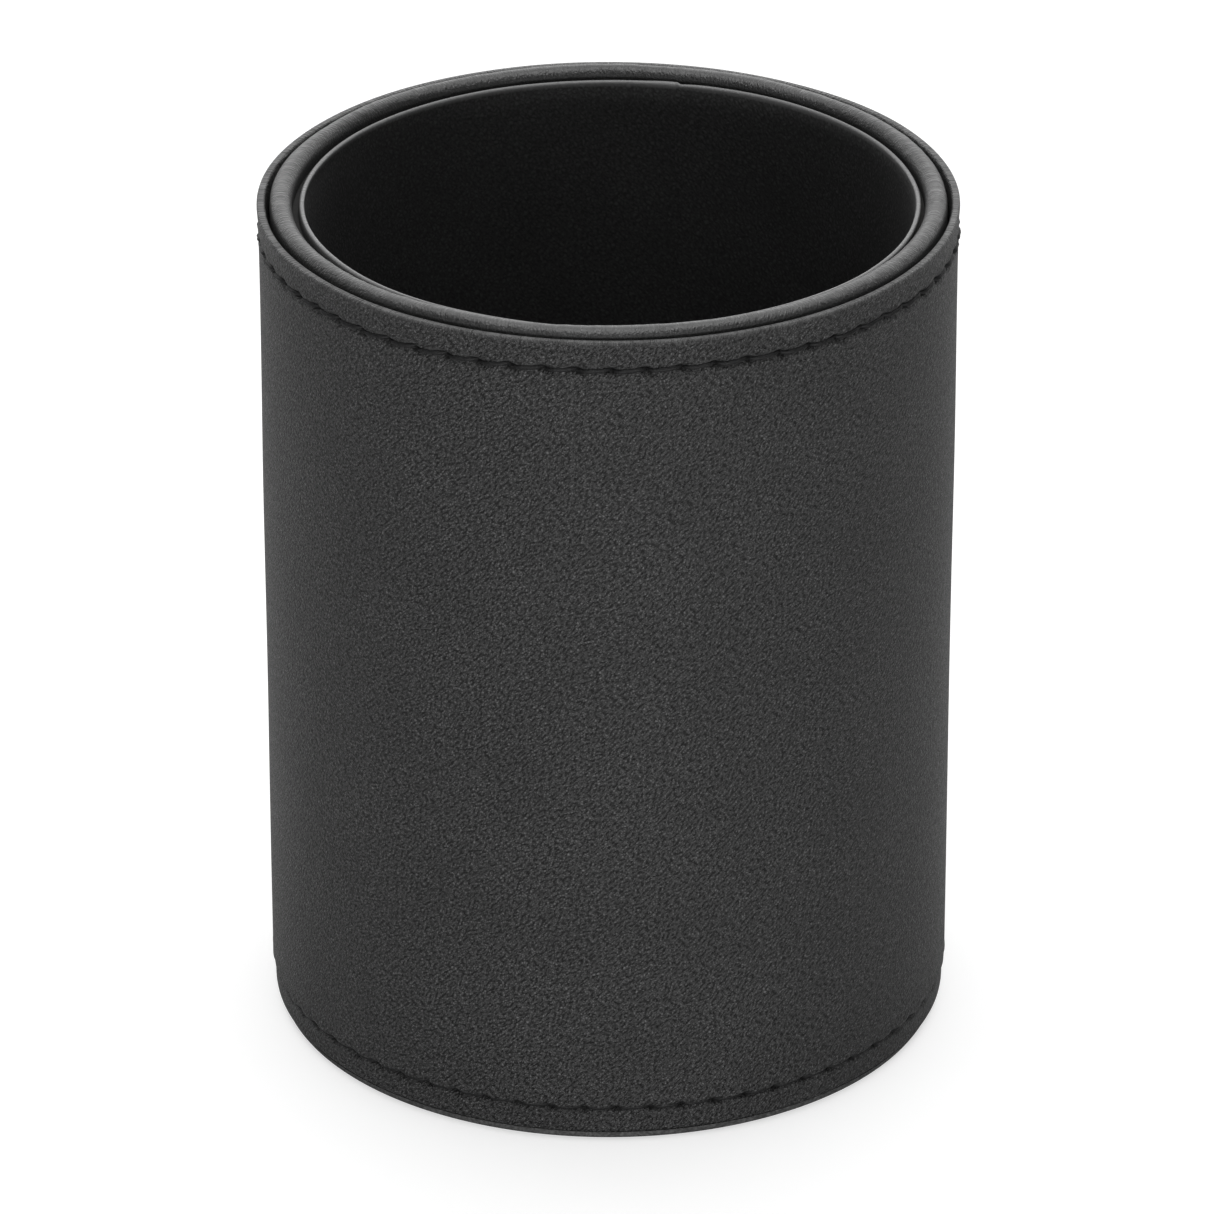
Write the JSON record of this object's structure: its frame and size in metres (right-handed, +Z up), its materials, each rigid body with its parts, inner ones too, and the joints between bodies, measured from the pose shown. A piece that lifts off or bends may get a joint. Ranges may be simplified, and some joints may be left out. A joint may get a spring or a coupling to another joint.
{
  "type": "dice cup",
  "caption": "Round straight-sided leather dice cup with a bound rim, a separate lining, stitched edges and a flat base.",
  "frame": {"origin": "centre of the cup's underside", "axes": "+Z up, out of the mouth along the cup's axis; +Y towards the sleeve's stitched seam at the back"},
  "size_m": [0.0802, 0.0802, 0.1015],
  "materials": {
    "sleeve_leather": "fine pebbled grain, satin",
    "rim_leather": "smooth, satin",
    "lining_leather": "fine grain, matt",
    "pad_leather": "smooth, matt",
    "fibreboard": "dense pressed board",
    "card": "thin dyed card",
    "thread": "waxed twisted thread"
  },
  "bodies": {
    "root": {"outer_sleeve": "sleeve_leather", "rim_cover": "rim_leather", "core_tube": "fibreboard", "lining_board": "card", "lining_sleeve": "lining_leather", "floor_cover": "lining_leather", "floor_board": "card", "base_board": "fibreboard", "base_pad": "pad_leather", "top_stitches": "thread", "bottom_stitches": "thread", "seam_stitches": "thread"}
  },
  "joints": []
}
